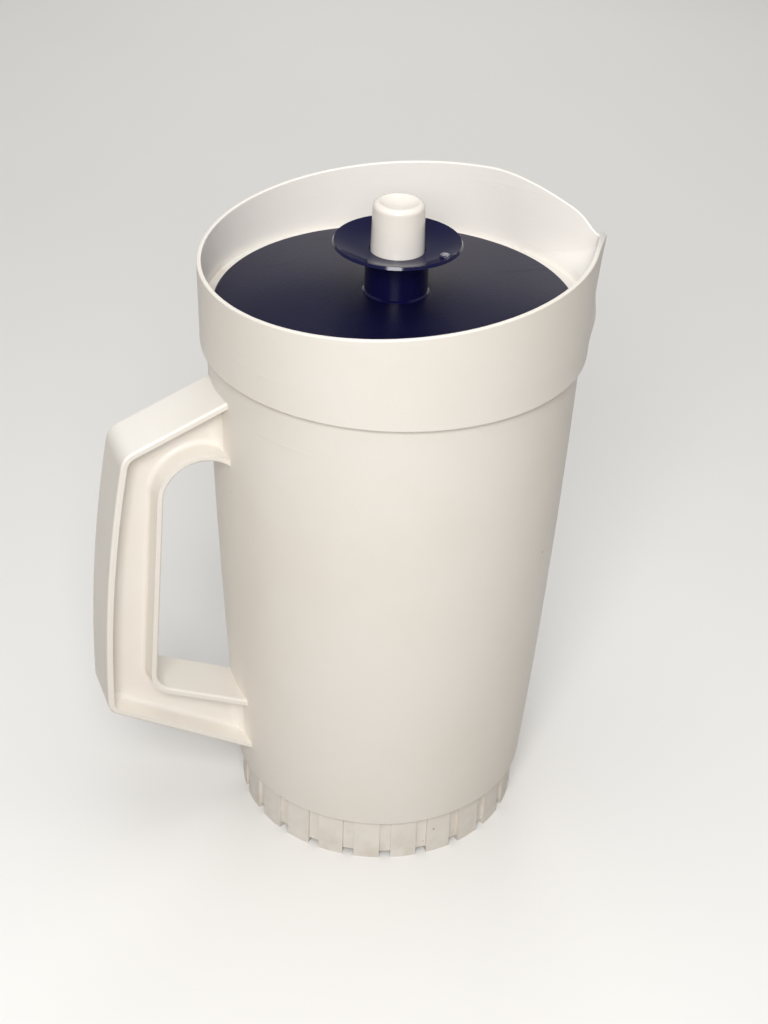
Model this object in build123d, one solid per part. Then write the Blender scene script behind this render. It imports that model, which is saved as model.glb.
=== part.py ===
from build123d import *
import math
import os

# A two litre juice jug with a push-button lid.
# Lengths are in millimetres and angles in degrees.
# The origin is on the jug's axis at the level of the table, +Z is up, the spout
# points along +X and the handle along -X.

# Jug body
wall = 2.2
floor_thickness = 2.4
foot_height = 19.4
foot_step = 2.5
foot_spread = 0.3
foot_wall = 2.6
body_taper = 8.6
body_belly = 1.22
inner_corner = 7.0
edge_radius = 0.5

# Castellated foot ring
groove_count = 24
groove_width = 4.4
groove_depth = 1.2
groove_turn = -2.6
notch_height = 2.0

# Collar, mouth and rim
collar_bottom = 197.4
collar_radius = 67.7
collar_step = 2.3
collar_swell = 0.8
collar_spare = 9.6
collar_wall = 1.6
collar_edge = 0.6
mouth_ledge = 5.4
mouth_height = 12.4
rim_edge = 0.5
rim_rise = 35.4
rim_slope_share = 0.09

# Pouring spout, a beak pressed out of the collar
# The nose is the rounding at the front, the lead is how far it stands out of the round
spout_lead = 1.9
spout_lean_share = 0.14
beak_lead = 6.0
beak_start = 13.0
beak_end = 24.5
spout_nose_start = 10.0
spout_nose_blunt = 55.0
spout_nose_sharp = 3.0
spout_step_count = 10
spout_wall = 2.8
spout_dip_start = 34.6
spout_dip_points = ((26.6, 5.0), (18.6, 3.3), (12.1, 0.2), (8.1, -3.0), (5.1, -7.5))
spout_tip_slope_share = 0.3

# Handle, an I-section bow moulded with the body
# Its corners are given by their distance out of the wall and from the nearer root's height
handle_width = 22.2
handle_root_depth = 21.4
handle_top_drop = 2.1
handle_top_corner = (35.6, -23.6)
handle_grip_bow = 2.6
handle_bottom_corner = (45.8, 40.0)
handle_bottom_height = 24.9
handle_top_radius = 7.0
handle_bottom_radius = 6.0
finger_arch_center = (8.0, -44.1)
finger_arch_radius = 14.1
finger_bottom_corner = (27.4, 47.5)
finger_bottom_rise = 25.3
finger_corner_radius = 8.0
handle_lip = 2.2
handle_recess = 8.2
handle_draft = 5.0
handle_lip_round = 0.9
handle_root_round = 1.8
web_flare = 5.0
web_flare_bite = 0.15
top_flare_drops = (45.3, 5.3)
bottom_flare_rises = (2.1, 33.1)

# Lid seal, the soft disc that plugs the mouth
seal_overlap = 0.6
seal_lip = 1.5
seal_rise = 3.8
seal_thickness = 1.6
seal_skirt_depth = 8.6
seal_skirt_wall = 1.4
seal_fin = 0.5
seal_fin_height = 1.4
seal_fin_pitch = 3.6
seal_hub_radius = 14.0
seal_hub_thickness = 2.4
seat_gap = 0.3

# Finger flange, the hard neck that two fingers hold
neck_radius = 11.0
neck_wall = 1.4
neck_foot_radius = 11.6
neck_foot_height = 0.2
neck_floor_height = 2.0
neck_floor_thickness = 1.8
neck_fillet = 2.2
flange_radius = 22.3
flange_center_height = 15.2
flange_rim_height = 18.4
flange_thickness = 1.0
flange_rim_slope_share = 0.45
spigot_radius = 8.3
spigot_wall = 1.3
spigot_bead = 0.4
spigot_bead_height = 0.6
guide_wall = 1.7
guide_rise = 2.2
guide_drop = 2.6
snap_gap = 0.02
pip_place = (11.8, -13.6)
pip_radius = 1.9
pip_height = 1.2
pip_edge = 0.9

# Retaining ring below the seal's hub
ring_radius = 13.4
ring_thickness = 1.9

# Push button
button_radius = 9.25
button_top_radius = 8.9
button_rise = 17.2
button_sunk = 3.2
button_wall = 1.5
button_edge = 1.9
button_dish_radius = 6.7
button_dish_depth = 1.7
button_skin = 1.5
socket_radius = 4.5
socket_length = 12.3
socket_spare = 0.3

# Plunger stem
stem_radius = 4.0
stem_fit = 0.08
stem_pin_radius = 3.2
stem_pin_length = 8.0
stem_pin_fit = 0.02
stem_tail_radius = 2.8
stem_tail_fit = 0.02
stem_head_radius = 4.2
stem_head_height = 1.2

# Spreader plate
plate_radius = 24.0
plate_thickness = 1.8
plate_rim_height = 1.6
plate_rim_width = 1.8
plate_hub_radius = 5.6
plate_hub_height = 1.4
plate_rib_count = 6
plate_rib_width = 1.2
plate_rib_height = 1.6
plate_rib_start = 5.4
plate_rib_end = 22.0
plate_gap = 0.3

# Overrun of cutting tools past the faces they cut
overrun = 2.0

# Heights that the pieces share
collar_height = rim_rise + collar_spare
rim_height = collar_bottom + rim_rise
handle_top_height = collar_bottom - handle_top_drop
shelf_height = collar_bottom + mouth_height
seal_edge_top = shelf_height + seal_lip
seal_center_top = seal_edge_top + seal_rise
hub_underside = seal_center_top - seal_hub_thickness
ring_underside = hub_underside - ring_thickness
spigot_end = ring_underside - spigot_bead_height
neck_floor = seal_center_top + neck_floor_height
flange_center_top = seal_center_top + flange_center_height
flange_rim_top = seal_center_top + flange_rim_height
button_top = flange_center_top + button_rise
button_bottom = flange_center_top - button_sunk
plate_top = spigot_end - plate_gap
plate_underside = plate_top - plate_thickness
plate_hub_top = plate_top + plate_hub_height
socket_ceiling = button_top - button_dish_depth - button_skin
socket_end = socket_ceiling - socket_length
spout_low = rim_height + spout_dip_points[-1][1] - overrun

# Radii that the pieces share
body_radius_top = collar_radius - collar_step
body_radius_bottom = body_radius_top - body_taper
foot_radius_top = body_radius_bottom - foot_step
foot_radius_bottom = foot_radius_top + foot_spread
mouth_radius = collar_radius - mouth_ledge
seal_radius = mouth_radius + seal_overlap
handle_root = body_radius_top - handle_root_depth
spout_reach = collar_radius + collar_swell + spout_lead + spout_lean_share * collar_height + beak_lead


def revolved(points):
    """A solid of revolution round Z from straight (radius, height) points."""
    with BuildPart() as part:
        with BuildSketch(Plane.XZ):
            with BuildLine():
                Polyline(*points, close=True)
            make_face()
        revolve(axis=Axis.Z)
    return part.part


def side_arc(start, end, belly):
    """The (radius, height) midpoint of a wall that bellies outwards."""
    middle_radius = (start[0] + end[0]) / 2 + belly
    middle_height = (start[1] + end[1]) / 2
    return (middle_radius, middle_height)


# The outside of body and foot as one solid of revolution
def body_outside():
    foot_top = (foot_radius_top, foot_height)
    wall_bottom = (body_radius_bottom, foot_height)
    wall_top = (body_radius_top, collar_bottom)
    with BuildPart() as part:
        with BuildSketch(Plane.XZ):
            with BuildLine():
                Line((0, 0), (foot_radius_bottom, 0))
                Line((foot_radius_bottom, 0), foot_top)
                Line(foot_top, wall_bottom)
                ThreePointArc(wall_bottom, side_arc(wall_bottom, wall_top, body_belly), wall_top)
                Line(wall_top, (0, collar_bottom))
                Line((0, collar_bottom), (0, 0))
            make_face()
        revolve(axis=Axis.Z)
    return part.part


# The room inside the body, up to the collar
def body_inside():
    bottom = (body_radius_bottom - wall, foot_height)
    top = (mouth_radius, collar_bottom)
    with BuildPart() as part:
        with BuildSketch(Plane.XZ):
            with BuildLine():
                Line((0, foot_height), bottom)
                ThreePointArc(bottom, side_arc(bottom, top, body_belly), top)
                Line(top, (mouth_radius, collar_bottom + overrun))
                Line((mouth_radius, collar_bottom + overrun), (0, collar_bottom + overrun))
                Line((0, collar_bottom + overrun), (0, foot_height))
            make_face()
        revolve(axis=Axis.Z)
        fillet(part.edges().group_by(Axis.Z)[0], radius=inner_corner)
    return part.part


# The hollow below the floor, inside the foot ring
def foot_hollow():
    top = foot_height - floor_thickness
    radius = foot_radius_top - foot_wall
    with BuildPart() as part:
        with Locations((0, 0, -overrun)):
            Cylinder(radius, top + overrun, align=(Align.CENTER, Align.CENTER, Align.MIN))
        fillet(part.edges().group_by(Axis.Z)[-1], radius=foot_wall)
    return part.part


# A point at an angle on a circle whose center lies on the X axis
def on_circle(center_x, radius, angle):
    return (center_x + radius * math.cos(angle), radius * math.sin(angle))


# A point's twin on the other side of the X axis
def mirrored(point):
    return (point[0], -point[1])


# A drop-shaped outline: a circle, two straight flanks and a rounded nose on +X
def drop_face(radius, reach, nose, height):
    nose_center = reach - nose
    turn = math.acos((radius - nose) / nose_center)
    back = (-radius, 0)
    back_middle = on_circle(0, radius, (turn + math.pi) / 2)
    flank = on_circle(0, radius, turn)
    nose_side = on_circle(nose_center, nose, turn)
    nose_middle = on_circle(nose_center, nose, turn / 2)
    tip = (reach, 0)
    with BuildSketch(Plane.XY.offset(height)) as sketch:
        with BuildLine():
            ThreePointArc(back, mirrored(back_middle), mirrored(flank))
            Line(mirrored(flank), mirrored(nose_side))
            ThreePointArc(mirrored(nose_side), mirrored(nose_middle), tip)
            ThreePointArc(tip, nose_middle, nose_side)
            Line(nose_side, flank)
            ThreePointArc(flank, back_middle, back)
        make_face()
    return sketch.sketch


# A share that grows from zero to one between two values, with soft ends
def soft_share(value, start, end):
    share = min(max((value - start) / (end - start), 0), 1)
    return share * share * (3 - 2 * share)


# Radius, reach and nose of the collar's drop shape at a height
def collar_sizes(height):
    rise = height - collar_bottom
    radius = collar_radius + collar_swell * rise / collar_height
    beak = beak_lead * soft_share(rise, beak_start, beak_end)
    reach = radius + spout_lead + spout_lean_share * rise + beak
    sharpness = soft_share(rise, spout_nose_start, beak_end)
    nose = spout_nose_blunt + sharpness * (spout_nose_sharp - spout_nose_blunt)
    return radius, reach, nose


# A loft through the collar's drop shapes from a height up, set in by a skin
def collar_loft(start, skin, spout_skin):
    low = max(start, collar_bottom + spout_nose_start)
    step = (collar_bottom + beak_end - low) / spout_step_count
    swell = [low + index * step for index in range(spout_step_count + 1)]
    faces = []
    for height in sorted({start, *swell, collar_bottom + collar_height}):
        radius, reach, nose = collar_sizes(height)
        faces.append(drop_face(radius - skin, reach - spout_skin, nose - skin, height))
    return loft(faces, ruled=True)


# The collar's outside, which swells from a round band into the beak
def collar_outside():
    return collar_loft(collar_bottom, 0, 0)


# The collar's inside, above the shelf
def collar_inside():
    return collar_loft(shelf_height, collar_wall, spout_wall)


# Everything above the rim line, which slopes up to the spout and dips into it
def rim_trim():
    back = -spout_reach
    front = spout_reach + overrun
    ceiling = collar_bottom + collar_height + overrun
    dip_start_x = spout_reach - spout_dip_start
    dip_start = (dip_start_x, rim_height + rim_slope_share * dip_start_x)
    dip = [(spout_reach - behind, rim_height + rise) for behind, rise in spout_dip_points]
    tip_height = dip[-1][1] + spout_tip_slope_share * (front - dip[-1][0])
    with BuildPart() as part:
        with BuildSketch(Plane.XZ):
            with BuildLine():
                Line((back, rim_height + rim_slope_share * back), dip_start)
                Spline(
                    dip_start,
                    *dip,
                    (front, tip_height),
                    tangents=((1, rim_slope_share), (1, spout_tip_slope_share)),
                )
                Line((front, tip_height), (front, ceiling))
                Line((front, ceiling), (back, ceiling))
                Line((back, ceiling), (back, rim_height + rim_slope_share * back))
            make_face()
        extrude(amount=spout_reach, both=True)
    return part.part


# A point of the handle from its distance out of the wall and a root's height
def beyond_wall(point, root_height):
    return (-body_radius_top - point[0], root_height + point[1])


# The handle's outline, drawn in the plane of the handle, from root to root
def handle_outline():
    root = -handle_root
    top_corner = beyond_wall(handle_top_corner, handle_top_height)
    bottom_corner = beyond_wall(handle_bottom_corner, handle_bottom_height)
    finger_corner = beyond_wall(finger_bottom_corner, handle_bottom_height)
    finger_root = (root, handle_bottom_height + finger_bottom_rise)
    grip_x = (top_corner[0] + bottom_corner[0]) / 2 - handle_grip_bow
    grip_z = (top_corner[1] + bottom_corner[1]) / 2
    arch_x, arch_z = beyond_wall(finger_arch_center, handle_top_height)
    arch_left = (arch_x - finger_arch_radius, arch_z)
    arch_top = (arch_x, arch_z + finger_arch_radius)
    arch_right = (arch_x + finger_arch_radius, arch_z)
    with BuildSketch(Plane.XZ) as sketch:
        with BuildLine():
            Line((root, handle_top_height), top_corner)
            ThreePointArc(top_corner, (grip_x, grip_z), bottom_corner)
            Line(bottom_corner, (root, handle_bottom_height))
            Line((root, handle_bottom_height), finger_root)
            Line(finger_root, finger_corner)
            Line(finger_corner, arch_left)
            ThreePointArc(arch_left, arch_top, arch_right)
            Line(arch_right, (root, arch_z))
            Line((root, arch_z), (root, handle_top_height))
        make_face()
        fillet(corner(sketch, top_corner), radius=handle_top_radius)
        fillet(corner(sketch, bottom_corner), radius=handle_bottom_radius)
        fillet(corner(sketch, finger_corner), radius=finger_corner_radius)
    return sketch.sketch


# The vertex of a sketch that lies nearest to a point of its own plane
def corner(sketch, point):
    return sketch.vertices().sort_by_distance((point[0], point[1], 0))[0]


# The outline of one side's recess at a depth below the flange's edge, narrowed by the draft
def recess_face(side, depth):
    inset = handle_lip + depth * math.tan(math.radians(handle_draft))
    outline = offset(handle_outline(), amount=-inset, kind=Kind.INTERSECTION)
    return outline.moved(Location((0, side * (handle_width / 2 - depth), 0))).face()


# One side's recess of the I-section, with a rounded root where it lies beyond the body's wall
def handle_recess_tool(side):
    tool = loft([recess_face(side, 0), recess_face(side, handle_recess)], ruled=True)
    floor = tool.faces().sort_by(Axis((0, 0, 0), (0, side, 0)))[0]
    seen_edges = [edge for edge in floor.edges() if edge.bounding_box().min.X < -body_radius_top]
    return fillet(seen_edges, radius=handle_root_round)


# The body's outer radius at a height
def body_radius(height):
    share = (height - foot_height) / (collar_bottom - foot_height)
    straight = body_radius_bottom + share * (body_radius_top - body_radius_bottom)
    return straight + 4 * share * (1 - share) * body_belly


# The level face between the web and the wall that one side's flare fills
def flare_face(side, height):
    radius = body_radius(height) - web_flare_bite
    web = handle_width / 2 - handle_recess
    center_y = web + web_flare
    center_x = -math.sqrt((radius + web_flare) ** 2 - center_y**2)
    on_wall = radius / (radius + web_flare)
    wall_point = (center_x * on_wall, side * center_y * on_wall)
    web_point = (center_x, side * web)
    turn = (math.atan2(center_y, -center_x) + math.pi / 2) / 2
    middle_point = (
        center_x + web_flare * math.sin(turn),
        side * (center_y - web_flare * math.cos(turn)),
    )
    with BuildSketch(Plane.XY.offset(height)) as sketch:
        with BuildLine():
            ThreePointArc(web_point, middle_point, wall_point)
            Polyline(
                wall_point,
                (-handle_root, wall_point[1]),
                (-handle_root, 0),
                (center_x, 0),
                web_point,
            )
        make_face()
    return sketch.sketch


# The fillets by which the web spreads into the wall at one root
def root_flares(heights):
    low, high = heights
    flares = [loft([flare_face(side, low), flare_face(side, high)], ruled=True) for side in (1, -1)]
    return flares[0] + flares[1]


# The handle as a continuous flange round a thin web
def handle():
    blank = extrude(handle_outline(), amount=handle_width / 2, both=True)
    sides = blank.faces().filter_by(Axis.Y)
    blank = fillet(sides.edges(), radius=handle_lip_round)
    top_flares = root_flares([handle_top_height - drop for drop in top_flare_drops])
    bottom_flares = root_flares([handle_bottom_height + rise for rise in bottom_flare_rises])
    flares = top_flares + bottom_flares
    bow = blank - handle_recess_tool(1) - handle_recess_tool(-1)
    return bow + (flares & blank)


# The grooves between the foot's panels and the notches at their lower ends
def foot_cuts():
    around = PolarLocations(0, groove_count, start_angle=groove_turn)
    floor_radius = foot_radius_top - groove_depth
    groove = Box(
        groove_depth + overrun,
        groove_width,
        foot_height + overrun,
        align=(Align.MIN, Align.CENTER, Align.MIN),
    ).moved(Location((floor_radius, 0, -overrun)))
    notch = Box(
        foot_wall + 2 * overrun,
        groove_width,
        notch_height + overrun,
        align=(Align.MIN, Align.CENTER, Align.MIN),
    ).moved(Location((foot_radius_top - foot_wall - overrun, 0, -overrun)))
    slot = groove + notch
    return [slot.moved(place) for place in around.locations]


# The collar with its shelf, spout and rounded rim
def collar():
    mouth = Cylinder(mouth_radius, mouth_height + 2 * overrun)
    mouth = mouth.moved(Location((0, 0, collar_bottom + mouth_height / 2)))
    shell = collar_outside() - mouth - collar_inside() - rim_trim()
    rim = [edge for edge in shell.edges() if edge.bounding_box().min.Z > spout_low]
    shell = fillet(rim, radius=rim_edge)
    step = shell.faces().sort_by(Axis.Z)[0].outer_wire().edges()
    return fillet(step, radius=collar_edge)


# The body with its floor, foot and handle
def body():
    return body_outside() + handle() - body_inside() - foot_hollow()


# The jug: body, collar, spout, handle and foot in one moulding
def jug_body():
    return body() + collar() - foot_cuts()


# One sealing fin's outline on the skirt, from its top down
def fin_points(radius, low):
    high = low + seal_fin_height
    return [
        (radius, high + seal_fin),
        (radius + seal_fin, high),
        (radius + seal_fin, low),
        (radius, low - seal_fin),
    ]


# The soft disc with its skirt, sealing fins and hub
def lid_seal():
    skirt_radius = mouth_radius - seat_gap - seal_fin
    skirt_inside = skirt_radius - seal_skirt_wall
    skirt_end = shelf_height - seal_skirt_depth
    low_fin = skirt_end + seal_fin_height
    high_fin = low_fin + seal_fin_pitch
    hole = spigot_radius + snap_gap
    points = [
        (hole, seal_center_top),
        (neck_foot_radius + seal_lip, seal_center_top),
        (seal_radius - edge_radius, seal_edge_top),
        (seal_radius, seal_edge_top - edge_radius),
        (seal_radius, shelf_height),
        (skirt_radius, shelf_height),
        *fin_points(skirt_radius, high_fin),
        *fin_points(skirt_radius, low_fin),
        (skirt_radius, skirt_end),
        (skirt_inside, skirt_end),
        (skirt_inside, seal_edge_top - seal_thickness),
        (seal_hub_radius + seal_hub_thickness, seal_center_top - seal_thickness),
        (seal_hub_radius, hub_underside),
        (hole, hub_underside),
    ]
    return revolved(points)


# The small pip that stands on the dish of the flange
def flange_pip():
    radius = math.hypot(pip_place[0], pip_place[1])
    share = (radius - neck_radius) / (flange_radius - neck_radius)
    dish = flange_center_top + share * share * (flange_rim_top - flange_center_top)
    pip = Cylinder(
        pip_radius,
        flange_thickness / 2 + pip_height,
        align=(Align.CENTER, Align.CENTER, Align.MIN),
    )
    pip = fillet(pip.edges().group_by(Axis.Z)[-1], radius=pip_edge)
    return pip.moved(Location((pip_place[0], pip_place[1], dish - flange_thickness / 2)))


# The hard neck with its dished flange, stem guide and snap spigot
def finger_flange():
    bore = neck_radius - neck_wall
    spigot_bore = spigot_radius - spigot_wall
    bead = spigot_radius + spigot_bead
    guide_bore = stem_radius + stem_fit
    guide = guide_bore + guide_wall
    floor_top = neck_floor + neck_floor_thickness
    dish_underside = flange_center_top - flange_thickness
    rim_underside = flange_rim_top - flange_thickness
    foot_top = seal_center_top + neck_foot_height
    taper_top = foot_top + neck_foot_radius - neck_radius
    neck_top = dish_underside - neck_fillet
    flat_end = neck_radius + neck_fillet
    with BuildPart() as part:
        with BuildSketch(Plane.XZ):
            with BuildLine():
                Polyline(
                    (neck_radius, neck_top),
                    (neck_radius, taper_top),
                    (neck_foot_radius, foot_top),
                    (neck_foot_radius, seal_center_top),
                    (spigot_radius, seal_center_top),
                    (spigot_radius, ring_underside),
                    (bead, ring_underside),
                    (spigot_radius, spigot_end),
                    (spigot_bore, spigot_end),
                    (spigot_bore, neck_floor),
                    (guide, neck_floor),
                    (guide, neck_floor - guide_drop),
                    (guide_bore, neck_floor - guide_drop),
                    (guide_bore, floor_top + guide_rise),
                    (guide, floor_top + guide_rise),
                    (guide, floor_top),
                    (bore, floor_top),
                    (bore, flange_center_top),
                )
                Spline(
                    (bore, flange_center_top),
                    (flange_radius - edge_radius, flange_rim_top),
                    tangents=((1, 0), (1, flange_rim_slope_share)),
                )
                Line((flange_radius - edge_radius, flange_rim_top), (flange_radius, rim_underside))
                Spline(
                    (flange_radius, rim_underside),
                    (flat_end, dish_underside),
                    tangents=((-1, -flange_rim_slope_share), (-1, 0)),
                )
                RadiusArc((flat_end, dish_underside), (neck_radius, neck_top), neck_fillet)
            make_face()
        revolve(axis=Axis.Z)
    return part.part + flange_pip()


# The snap ring that holds the seal's hub against the neck
def retaining_ring():
    hole = spigot_radius + snap_gap
    points = [
        (hole, hub_underside),
        (ring_radius, hub_underside),
        (ring_radius, ring_underside + edge_radius),
        (ring_radius - edge_radius, ring_underside),
        (hole, ring_underside),
    ]
    return revolved(points)


# The hollow button cap with its dished top and inner socket
def push_button():
    edge_start = button_top - button_edge
    edge_end = button_top_radius - button_edge
    edge_middle = button_edge * math.sin(math.radians(45))
    inside_bottom = button_radius - button_wall
    inside_top = button_top_radius - button_wall
    socket_bore = stem_pin_radius + stem_pin_fit
    socket_floor = socket_end + stem_pin_length + socket_spare
    dish_bottom = button_top - button_dish_depth
    with BuildPart() as part:
        with BuildSketch(Plane.XZ):
            with BuildLine():
                Line((button_radius, button_bottom), (button_radius, flange_center_top))
                Line((button_radius, flange_center_top), (button_top_radius, edge_start))
                ThreePointArc(
                    (button_top_radius, edge_start),
                    (edge_end + edge_middle, edge_start + edge_middle),
                    (edge_end, button_top),
                )
                Line((edge_end, button_top), (button_dish_radius, button_top))
                TangentArc((0, dish_bottom), (button_dish_radius, button_top), tangent=(1, 0))
                Polyline(
                    (0, dish_bottom),
                    (0, socket_floor),
                    (socket_bore, socket_floor),
                    (socket_bore, socket_end),
                    (socket_radius, socket_end),
                    (socket_radius, socket_ceiling),
                    (inside_top, socket_ceiling),
                    (inside_bottom, button_bottom),
                    (button_radius, button_bottom),
                )
            make_face()
        revolve(axis=Axis.Z)
    return part.part


# The stem that joins button and plate, with its staked lower end
def plunger_stem():
    head_end = plate_underside - stem_head_height
    points = [
        (0, socket_end + stem_pin_length),
        (stem_pin_radius, socket_end + stem_pin_length),
        (stem_pin_radius, socket_end),
        (stem_radius, socket_end),
        (stem_radius, plate_hub_top),
        (stem_tail_radius, plate_hub_top),
        (stem_tail_radius, plate_underside),
        (stem_head_radius, plate_underside),
        (stem_head_radius - edge_radius, head_end),
        (0, head_end),
    ]
    return revolved(points)


# The plate that spreads the push over the middle of the seal
def spreader_plate():
    hole = stem_tail_radius + stem_tail_fit
    rim_top = plate_top + plate_rim_height
    disc = revolved(
        [
            (hole, plate_hub_top),
            (plate_hub_radius, plate_hub_top),
            (plate_hub_radius, plate_top),
            (plate_radius - plate_rim_width, plate_top),
            (plate_radius - plate_rim_width, rim_top),
            (plate_radius, rim_top),
            (plate_radius, plate_underside + edge_radius),
            (plate_radius - edge_radius, plate_underside),
            (hole, plate_underside),
        ]
    )
    rib = Box(
        plate_rib_end - plate_rib_start,
        plate_rib_width,
        plate_rib_height + edge_radius,
        align=(Align.MIN, Align.CENTER, Align.MIN),
    ).moved(Location((plate_rib_start, 0, plate_underside - plate_rib_height)))
    around = PolarLocations(0, plate_rib_count)
    return disc + [rib.moved(place) for place in around.locations]


pieces = {
    "jug_body": jug_body,
    "lid_seal": lid_seal,
    "finger_flange": finger_flange,
    "retaining_ring": retaining_ring,
    "push_button": push_button,
    "plunger_stem": plunger_stem,
    "spreader_plate": spreader_plate,
}

if __name__ == "__main__":
    os.makedirs("parts", exist_ok=True)
    for name, make in pieces.items():
        export_step(make(), f"parts/{name}.step")
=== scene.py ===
# %% [markdown]
# # A juice jug with a push-button lid
# The jug is one off-white moulding with a castellated foot, a bow handle and a
# pouring spout. A dark blue lid lies in its mouth and carries a neck with a
# dished flange for two fingers and a button between them. The CAD model fixes
# every shape and place, so this file adds the finishes, the light and the view.

# %% Load the frame
import math

import bmesh
import bpy
from mathutils import Matrix, Vector

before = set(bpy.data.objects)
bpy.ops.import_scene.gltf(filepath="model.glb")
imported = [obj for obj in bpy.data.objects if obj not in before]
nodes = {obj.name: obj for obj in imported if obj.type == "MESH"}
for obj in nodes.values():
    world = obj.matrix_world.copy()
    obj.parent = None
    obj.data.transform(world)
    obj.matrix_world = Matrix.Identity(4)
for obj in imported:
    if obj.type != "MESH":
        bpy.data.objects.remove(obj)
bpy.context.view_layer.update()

# %% [markdown]
# ## The camera
# The photograph was taken from above and a little to the left of the spout. A
# camera that turns round a point on the jug's axis can be put in the same place
# with an azimuth, an elevation and a distance. It was held by hand, which adds
# a small pan, tilt and roll.

# %% Place the camera
VIEW_AZIMUTH = math.radians(-22.3)
VIEW_ELEVATION = math.radians(33.26)
VIEW_DISTANCE = 0.65163
VIEW_PAN = math.radians(-0.09)
VIEW_TILT = math.radians(0.25)
VIEW_ROLL = math.radians(2.33)
AIM = Vector((0, 0, 0.12))
LENS_MM = 61.16
SENSOR_MM = 36
NEAREST_SEEN = 0.01


def camera_axes():
    """Right, up and back of a level camera that looks at the aim."""
    level = math.cos(VIEW_ELEVATION)
    back_x = math.sin(VIEW_AZIMUTH) * level
    back_y = -math.cos(VIEW_AZIMUTH) * level
    back = Vector((back_x, back_y, math.sin(VIEW_ELEVATION)))
    right = Vector((math.cos(VIEW_AZIMUTH), math.sin(VIEW_AZIMUTH), 0))
    return right, back.cross(right), back


def place_camera():
    """A camera at the photograph's viewing angle, set as the scene's own."""
    right, up, back = camera_axes()
    turn = Matrix((right, up, back)).transposed()
    turn = turn @ Matrix.Rotation(-VIEW_PAN, 3, "Y")
    turn = turn @ Matrix.Rotation(VIEW_TILT, 3, "X")
    turn = turn @ Matrix.Rotation(VIEW_ROLL, 3, "Z")
    camera = bpy.data.objects.new("camera", bpy.data.cameras.new("camera"))
    camera.data.lens = LENS_MM
    camera.data.sensor_width = SENSOR_MM
    camera.data.clip_start = NEAREST_SEEN
    bpy.context.collection.objects.link(camera)
    camera.matrix_world = Matrix.Translation(AIM + back * VIEW_DISTANCE) @ turn.to_4x4()
    bpy.context.scene.camera = camera
    return camera


camera = place_camera()
print("camera at", [round(part, 3) for part in camera.location])

# %% [markdown]
# ## Writing shader maths as expressions
# A finish is a small formula: a pattern, stretched and added to another. Nodes
# wired one by one hide the formula, so a thin wrapper lets a socket take part
# in Python arithmetic and adds the Math nodes behind the scenes. Values that
# pass low and high limits turn a soft pattern into a mask with a soft edge.


# %% A socket that can be calculated with
class Value:
    """An output socket with the usual operators."""

    def __init__(self, shader, socket):
        self.shader = shader
        self.socket = socket

    def math(self, operation, *others):
        return self.shader.add("ShaderNodeMath", {"operation": operation}, [self, *others])

    def __add__(self, other):
        return self.math("ADD", other)

    def __mul__(self, other):
        return self.math("MULTIPLY", other)

    def __sub__(self, other):
        return self.math("SUBTRACT", other)

    def __rsub__(self, other):
        return self.shader.add("ShaderNodeMath", {"operation": "SUBTRACT"}, [other, self])

    __radd__ = __add__
    __rmul__ = __mul__

    def between(self, low, high):
        """0 below low, 1 above high, smooth from one to the other."""
        settings = {"interpolation_type": "SMOOTHSTEP"}
        inputs = {"Value": self, "From Min": low, "From Max": high}
        return self.shader.add("ShaderNodeMapRange", settings, inputs)


# %% [markdown]
# ## A material that is built by formulas
# Every pattern here reads the node's own Object coordinates, in metres, so it
# stays on the plastic when the lid is lifted. The masks below are the ones that
# the finishes share: how high a point lies, how far from the jug's axis, and
# whether its wall faces that axis.

# %% One material and its nodes
# The Mix node's colour inputs and its colour result go by number
MIX_LOW, MIX_HIGH, MIX_RESULT = 6, 7, 2
EDGE_SOFTNESS = 0.0001
FACING_AXIS, FACING_AWAY = -0.02, -0.005


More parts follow.
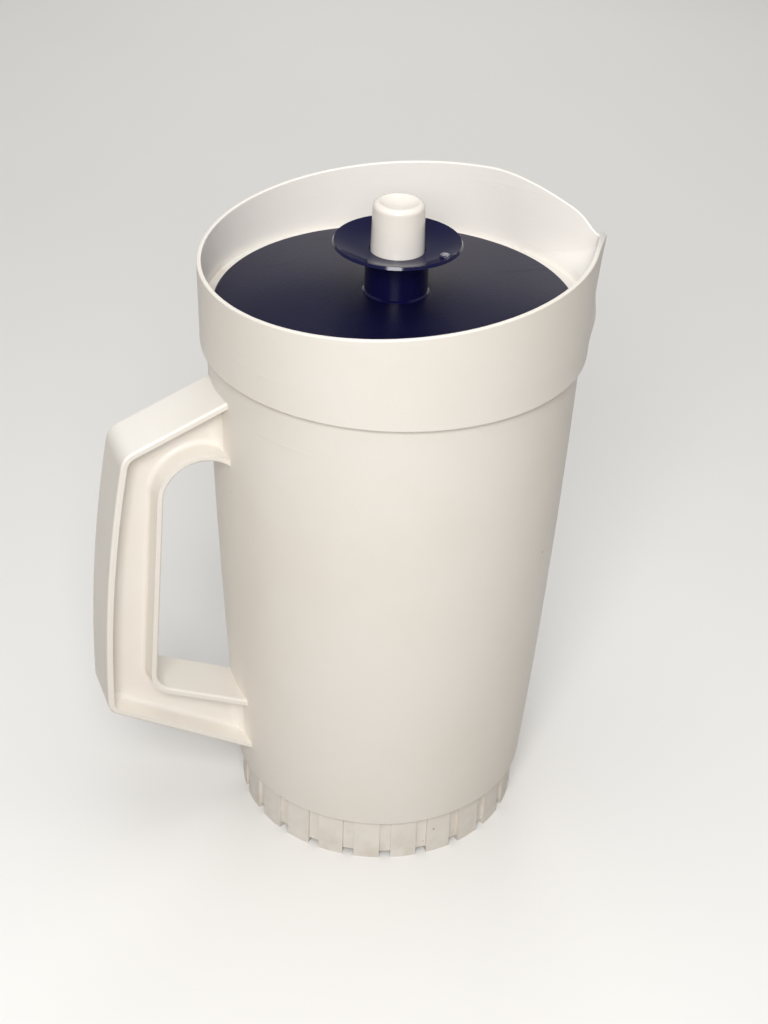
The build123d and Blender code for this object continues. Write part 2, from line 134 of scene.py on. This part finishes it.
class Finish:
    """A material whose nodes are added by formulas."""

    def __init__(self, name, **constants):
        self.material = bpy.data.materials.new(name)
        self.material.use_nodes = True
        self.tree = self.material.node_tree
        self.surface = self.tree.nodes["Principled BSDF"]
        for socket, value in constants.items():
            self.surface.inputs[socket].default_value = value

    def add(self, kind, settings, inputs, output=0):
        """Adds a node: its settings first, then values or links for its sockets."""
        node = self.tree.nodes.new(kind)
        for key, value in settings.items():
            setattr(node, key, value)
        pairs = inputs.items() if isinstance(inputs, dict) else enumerate(inputs)
        for key, value in pairs:
            if isinstance(value, Value):
                self.tree.links.new(value.socket, node.inputs[key])
            else:
                node.inputs[key].default_value = value
        return Value(self, node.outputs[output])

    def place(self):
        return self.add("ShaderNodeTexCoord", {}, {}, output="Object")

    def stretched(self, scale):
        """Places in which a pattern gets finer along an axis with a larger scale."""
        return self.add("ShaderNodeMapping", {}, {"Vector": self.place(), "Scale": scale})

    def noise(self, scale, detail=3.0, roughness=0.5, place=None):
        inputs = {
            "Vector": place or self.place(),
            "Scale": scale,
            "Detail": detail,
            "Roughness": roughness,
        }
        return self.add("ShaderNodeTexNoise", {}, inputs)

    def cells(self, scale):
        """The distance to the middle of the nearest cell."""
        inputs = {"Vector": self.place(), "Scale": scale}
        return self.add("ShaderNodeTexVoronoi", {}, inputs, output="Distance")

    def height(self):
        return self.add("ShaderNodeSeparateXYZ", {}, [self.place()], output="Z")

    def level_parts(self, kind):
        """The X and Y parts of a place or of a surface's direction."""
        vector = self.add("ShaderNodeTexCoord", {}, {}, output=kind)
        return [self.add("ShaderNodeSeparateXYZ", {}, [vector], output=axis) for axis in "XY"]

    def inside(self, radius):
        """1 within a radius round the jug's axis, 0 outside it."""
        x, y = self.level_parts("Object")
        distance = (x * x + y * y).math("SQRT")
        return 1 - distance.between(radius - EDGE_SOFTNESS, radius + EDGE_SOFTNESS)

    def faces_axis(self):
        """1 on walls that face the jug's axis, 0 on those that face away."""
        x, y = self.level_parts("Object")
        across, along = self.level_parts("Normal")
        return 1 - (x * across + y * along).between(FACING_AXIS, FACING_AWAY)

    def mix(self, share, low, high):
        """A colour that goes from low to high as the share goes from 0 to 1."""
        inputs = {"Factor": share, MIX_LOW: low, MIX_HIGH: high}
        return self.add("ShaderNodeMix", {"data_type": "RGBA"}, inputs, output=MIX_RESULT)

    def bump(self, height, distance, after=None):
        """Relief of a depth in metres, on top of an earlier relief if one is given."""
        inputs = {"Height": height, "Distance": distance}
        if after:
            inputs["Normal"] = after
        return self.add("ShaderNodeBump", {}, inputs)

    def wire(self, **sockets):
        """Links values to the surface's sockets."""
        for name, value in sockets.items():
            self.tree.links.new(value.socket, self.surface.inputs[name.replace("_", " ")])
        return self.material


# %% Colours as a screen shows them
# The screen's curve is a straight line for the darkest colours and a power above
LINE_END, LINE_SLOPE = 0.04045, 12.92
CURVE_OFFSET, CURVE_POWER = 0.055, 2.4


def linear(level):
    """A screen's level, 0 to 255, as the share of light that the shader wants."""
    share = level / 255
    if share <= LINE_END:
        return share / LINE_SLOPE
    return ((share + CURVE_OFFSET) / (1 + CURVE_OFFSET)) ** CURVE_POWER


def colour(red, green, blue):
    return (linear(red), linear(green), linear(blue), 1.0)


print("half grey on a screen is a share of light of", round(linear(128), 3))

# %% [markdown]
# ## Off-white moulded plastic
# The jug's plastic is a warm white with a satin skin. A lighter white on the
# walls inside the collar is painted light, a darker white on the shelf that
# carries the lid is painted shade, and old juice has dried in the corner above
# it. These places are bands of height, cut by the distance from the axis or by
# the way the wall faces, so no picture has to be painted for them.

# %% The whites and where they lie
WARM_WHITE = colour(235, 230, 222)
WARM_SHADE = colour(231, 225, 215)
# Painted light: a lighter white on the walls inside the collar
MOUTH_PAINTED_LIGHT = colour(246, 241, 234)
# Painted shade: a darker white on the shelf that the lid lies on
SHELF_PAINTED_SHADE = colour(226, 222, 215)
BUTTON_WHITE = colour(238, 232, 224)
BUTTON_SHADE = colour(234, 227, 218)
BROWN_FILM = colour(176, 146, 118)

# Each band of height starts or ends softly, between a low and a high limit
SHELF_RADIUS = 0.0668
SHELF_STARTS = (0.206, 0.208)
SHELF_ENDS = (0.2105, 0.2125)
FILM_STARTS = (0.2088, 0.2098)
FILM_ENDS = (0.2100, 0.2130)
FILM_STRENGTH = 0.35


def shelf(finish):
    """The shelf that the lid lies on."""
    level = finish.height()
    band = level.between(*SHELF_STARTS) * (1 - level.between(*SHELF_ENDS))
    return finish.inside(SHELF_RADIUS) * band


def shelf_film(finish):
    """Where old juice has dried in the corner between the shelf and the wall."""
    level = finish.height()
    band = level.between(*FILM_STARTS) * (1 - level.between(*FILM_ENDS))
    patches = finish.noise(28.0, detail=5.0).between(0.55, 0.68)
    return band * finish.inside(SHELF_RADIUS) * patches * FILM_STRENGTH


def painted_light_walls(finish):
    """The walls inside the collar, which get a lighter white as painted light."""
    return finish.faces_axis() * finish.height().between(*SHELF_STARTS)


print("shelf from", SHELF_STARTS[0], "to", SHELF_ENDS[1], "m high")

# %% [markdown]
# ## Years of use on the white
# Up close the white isn't even. Its colour drifts a little, the foot is darker,
# partly from grime and partly from painted shade that grows towards the bottom,
# and washing has left hairlines that run round the jug and a few dark specks.
# Noise at several scales gives the drift, the foot's grime and shade, and the
# hairlines. A cell pattern gives the specks, which are kept only where a second
# noise is high, so that they are rare.

# %% Stains and painted shade, specks and hairlines
# Grime and painted shade: the foot is darker, more so towards the bottom
FOOT_GRIME_AND_SHADE = colour(204, 194, 180)
SPECK = colour(112, 94, 76)
FOOT_TOP = 0.022
FOOT_DARKENING_STRENGTH = 0.5
SPECK_STRENGTH = 0.55
HAIR_STRETCH = (2.0, 2.0, 38.0)


def drift(finish):
    """The slow change from the white to its shade."""
    return finish.noise(14.0, detail=4.0).between(0.35, 0.7)


def foot_grime_and_shading(finish):
    """Grime and painted shade on the foot, most of it at the bottom."""
    low_down = 1 - finish.height().between(0.0, FOOT_TOP)
    return low_down * finish.noise(160.0, detail=4.0).between(0.3, 0.75) * FOOT_DARKENING_STRENGTH


def specks(finish):
    """Rare dark dots."""
    dots = 1 - finish.cells(150.0).between(0.05, 0.09)
    rare = finish.noise(60.0, detail=1.0).between(0.66, 0.7)
    return dots * rare * SPECK_STRENGTH


def hairlines(finish):
    """Fine marks that run round the jug."""
    marks = finish.noise(9.0, detail=6.0, place=finish.stretched(HAIR_STRETCH))
    return marks.between(0.6, 0.72)


print("the foot's grime ends at", FOOT_TOP, "m")

# %% [markdown]
# ## The white finishes
# The jug and the button are the same white plastic. The jug's skin is satin and
# has a visible grain, and the button is polished, so one function makes both
# from a roughness and a grain. The grain and the hairlines are a few hundredths
# of a millimetre deep at most, which is right for bump.

# %% The jug's and the button's finishes
WHITE_INDEX = 1.49
SHINE_DRIFT = 0.12
HAIR_DULLING = 0.08
HAIR_DEPTH = 0.6


def worn_white(name, white, shade, roughness, grain):
    """Warm white plastic with drift, stains, specks, hairlines and grain."""
    finish = Finish(name, Roughness=roughness, IOR=WHITE_INDEX)
    tone = finish.mix(drift(finish), white, shade)
    # Painted shade: a darker white on the shelf that the lid lies on
    tone = finish.mix(shelf(finish), tone, SHELF_PAINTED_SHADE)
    # Painted light: a lighter white on the walls inside the collar
    tone = finish.mix(painted_light_walls(finish), tone, MOUTH_PAINTED_LIGHT)
    # Grime and painted shade on the foot, darker towards the bottom
    tone = finish.mix(foot_grime_and_shading(finish), tone, FOOT_GRIME_AND_SHADE)
    tone = finish.mix(shelf_film(finish), tone, BROWN_FILM)
    tone = finish.mix(specks(finish), tone, SPECK)
    hairs = hairlines(finish)
    shine = roughness + SHINE_DRIFT * (finish.noise(35.0) - 0.5) + HAIR_DULLING * hairs
    relief = finish.bump(finish.noise(900.0, detail=2.0), grain)
    relief = finish.bump(hairs, grain * HAIR_DEPTH, after=relief)
    return finish.wire(Base_Color=tone, Roughness=shine, Normal=relief)


jug_white = worn_white(
    "jug_warm_white", WARM_WHITE, WARM_SHADE, roughness=0.38, grain=0.00004
)
button_white = worn_white(
    "button_gloss_white", BUTTON_WHITE, BUTTON_SHADE, roughness=0.18, grain=0.000008
)
print("white finishes", jug_white.name, button_white.name)

# %% [markdown]
# ## Dark blue plastic
# The lid's disc is a softer plastic than the neck, so the same blue looks
# different on the two: the disc has a dull sheen with a film of wear, and the
# neck and flange are polished. Both come from one function, with a film that
# lifts the colour towards grey and a roughness that follows the film. The small
# pip on the flange gets a painted highlight, a pale patch that a mask round its
# centre does.

# %% The blues, their wear and the pip's painted highlight
DEEP_BLUE = colour(9, 9, 44)
GLOSS_BLUE = colour(11, 11, 52)
FILM_GREY = colour(60, 59, 68)
# Painted highlight on the small pip on the flange
PIP_PAINTED_HIGHLIGHT = colour(188, 186, 188)
PIP_X, PIP_Y = 0.0118, -0.0136
PIP_EDGE = (0.0011, 0.0019)
PIP_STARTS = (0.222, 0.224)
PIP_STRENGTH = 0.9
SCUFF_STRETCH = (1.0, 9.0, 1.0)


def pip_painted_highlight(finish):
    """A painted highlight: a pale, broken-up patch on the small pip on the flange."""
    x, y = finish.level_parts("Object")
    across = x - PIP_X
    along = y - PIP_Y
    distance = (across * across + along * along).math("SQRT")
    patchy = finish.noise(1500.0, detail=2.0).between(0.35, 0.6)
    high_up = finish.height().between(*PIP_STARTS)
    return (1 - distance.between(*PIP_EDGE)) * patchy * PIP_STRENGTH * high_up


def scuff_marks(finish):
    """Marks that are drawn out from handle to spout."""
    marks = finish.noise(30.0, detail=6.0, place=finish.stretched(SCUFF_STRETCH))
    return marks.between(0.64, 0.74)


def dust(finish):
    """Grains of dust in loose groups."""
    grains = 1 - finish.cells(420.0).between(0.05, 0.1)
    return grains * finish.noise(90.0, detail=1.0).between(0.6, 0.66)


print("the pip is at", (PIP_X, PIP_Y))

# %% The lid's finishes
FILM_DULLING = 0.35
SCUFF_DULLING = 0.06


def worn_blue(name, base, roughness, film, grain, index):
    """Dark blue plastic with a film of wear, scuffs, dust and grain."""
    finish = Finish(name, Roughness=roughness, IOR=index)
    cloud = finish.noise(26.0, detail=5.0, roughness=0.6).between(0.35, 0.8)
    scuffs = scuff_marks(finish)
    tone = finish.mix((cloud + scuffs + dust(finish)) * film, base, FILM_GREY)
    # Painted highlight: a pale patch on the pip
    tone = finish.mix(pip_painted_highlight(finish), tone, PIP_PAINTED_HIGHLIGHT)
    shine = roughness + film * FILM_DULLING * (cloud - 0.5) + SCUFF_DULLING * scuffs
    relief = finish.bump(finish.noise(1100.0, detail=2.0), grain)
    return finish.wire(Base_Color=tone, Roughness=shine, Normal=relief)


disc_blue = worn_blue(
    "lid_satin_blue", DEEP_BLUE, roughness=0.34, film=0.06, grain=0.00005, index=1.35
)
flange_blue = worn_blue(
    "flange_gloss_blue", GLOSS_BLUE, roughness=0.12, film=0.03, grain=0.000004, index=1.42
)
print("blue finishes", disc_blue.name, flange_blue.name)

# %% [markdown]
# ## Which piece is made of what
# Four finishes serve seven pieces. The stem is moulded from the button's white,
# and the ring and the plate that hide under the lid from the flange's blue. The
# CAD pieces stay as they are, and only their material slots are filled.

# %% Give each node its finish
FINISHES = {
    "jug_body": jug_white,
    "lid_seal": disc_blue,
    "finger_flange": flange_blue,
    "retaining_ring": flange_blue,
    "spreader_plate": flange_blue,
    "push_button": button_white,
    "plunger_stem": button_white,
}
for name, material in FINISHES.items():
    for slot in nodes[name].material_slots:
        slot.material = material
print("finished", len(FINISHES), "nodes")

# %% [markdown]
# ## The floor
# A plain pale floor keeps the jug's shadow and shows nothing else. A floor that
# is as bright to the jug as it is to the eye would wash out the foot, so it is
# pale only to the eye and to mirror images, and throws a duller light upwards.

# %% Make the floor
FLOOR_PALE = colour(238, 236, 233)
FLOOR_SHADE = colour(232, 230, 226)
FLOOR_BOUNCE = colour(146, 136, 125)
FLOOR_ROUGHNESS = 0.8
HALF_FLOOR = 6.0


def seen(finish):
    """1 where a ray shows the floor, 0 where it carries the floor's light to the jug."""
    path = finish.add("ShaderNodeLightPath", {}, {}, output="Is Camera Ray")
    for kind in ("Is Glossy Ray", "Is Transmission Ray"):
        path = path.math("MAXIMUM", finish.add("ShaderNodeLightPath", {}, {}, output=kind))
    return path


def floor_finish():
    """Pale with a slight drift to the eye, duller to the jug."""
    finish = Finish("floor_pale", Roughness=FLOOR_ROUGHNESS)
    tone = finish.mix(finish.noise(3.0), FLOOR_PALE, FLOOR_SHADE)
    return finish.wire(Base_Color=finish.mix(seen(finish), FLOOR_BOUNCE, tone))


def make_floor():
    mesh = bpy.data.meshes.new("floor")
    shape = bmesh.new()
    bmesh.ops.create_grid(shape, x_segments=1, y_segments=1, size=HALF_FLOOR)
    shape.to_mesh(mesh)
    shape.free()
    mesh.materials.append(floor_finish())
    floor = bpy.data.objects.new("floor", mesh)
    bpy.context.collection.objects.link(floor)
    return floor


floor = make_floor()
print("floor", [round(side, 1) for side in floor.dimensions])

# %% [markdown]
# ## The light
# A large soft lamp above the camera lights the side that the camera sees, as in
# the photograph. A second one from above opens up the inside, and a third,
# weaker one stands behind the jug for views from there and isn't mirrored in
# its gloss. A pale world fills the shadows, so that colours come out about as
# they were written.

# %% The lamps and the world
WORLD_LEVEL = 0.32
WORLD_COLOUR = (1.0, 1.0, 1.0, 1.0)
CAMERA_LAMP = {"place": (-0.36, -0.74, 0.74), "size": 0.4, "power": 8.1}
TOP_LAMP = {"place": (0.0, -0.1, 1.5), "size": 1.0, "power": 6.5}
BACK_LAMP = {"place": (0.48, 1.2, 0.8), "size": 0.5, "power": 3.4}


def soft_lamp(name, place, size, power):
    """A square lamp that faces the aim."""
    lamp = bpy.data.objects.new(name, bpy.data.lights.new(name, "AREA"))
    lamp.data.shape = "SQUARE"
    lamp.data.size = size
    lamp.data.energy = power
    lamp.visible_camera = False
    bpy.context.collection.objects.link(lamp)
    away = Vector(place) - AIM
    turn = away.to_track_quat("Z", "Y").to_matrix().to_4x4()
    lamp.matrix_world = Matrix.Translation(place) @ turn
    return lamp


def pale_world():
    world = bpy.data.worlds.new("pale")
    world.use_nodes = True
    sky = world.node_tree.nodes["Background"]
    sky.inputs["Color"].default_value = WORLD_COLOUR
    sky.inputs["Strength"].default_value = WORLD_LEVEL
    bpy.context.scene.world = world


soft_lamp("camera_lamp", **CAMERA_LAMP)
soft_lamp("top_lamp", **TOP_LAMP)
back_lamp = soft_lamp("back_lamp", **BACK_LAMP)
back_lamp.visible_glossy = False
pale_world()
bpy.context.scene.view_settings.view_transform = "Standard"
print("three lamps, world at", WORLD_LEVEL)
